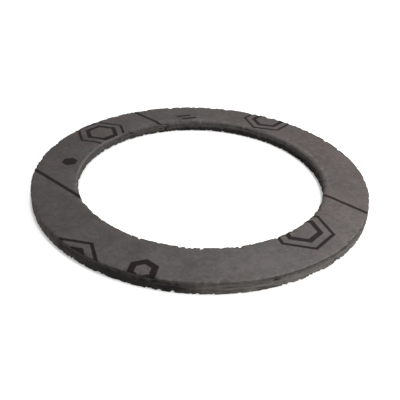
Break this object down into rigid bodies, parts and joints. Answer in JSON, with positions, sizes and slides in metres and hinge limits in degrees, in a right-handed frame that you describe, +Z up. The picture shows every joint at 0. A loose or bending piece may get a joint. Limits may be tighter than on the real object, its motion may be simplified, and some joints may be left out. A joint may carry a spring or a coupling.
{
  "type": "graphite gasket",
  "caption": "Flat round gasket cut from dark grey graphite sheet, with a plain bore and slightly rolled top edges, for sealing between two flange faces.",
  "frame": {"origin": "centre of the bore on the underside of the ring", "axes": "+Z up through the bore, from the underside to the printed top face"},
  "size_m": [0.08, 0.08, 0.003],
  "materials": {
    "graphite_sheet": "matte"
  },
  "bodies": {
    "root": {"gasket_ring": "graphite_sheet"}
  },
  "joints": []
}
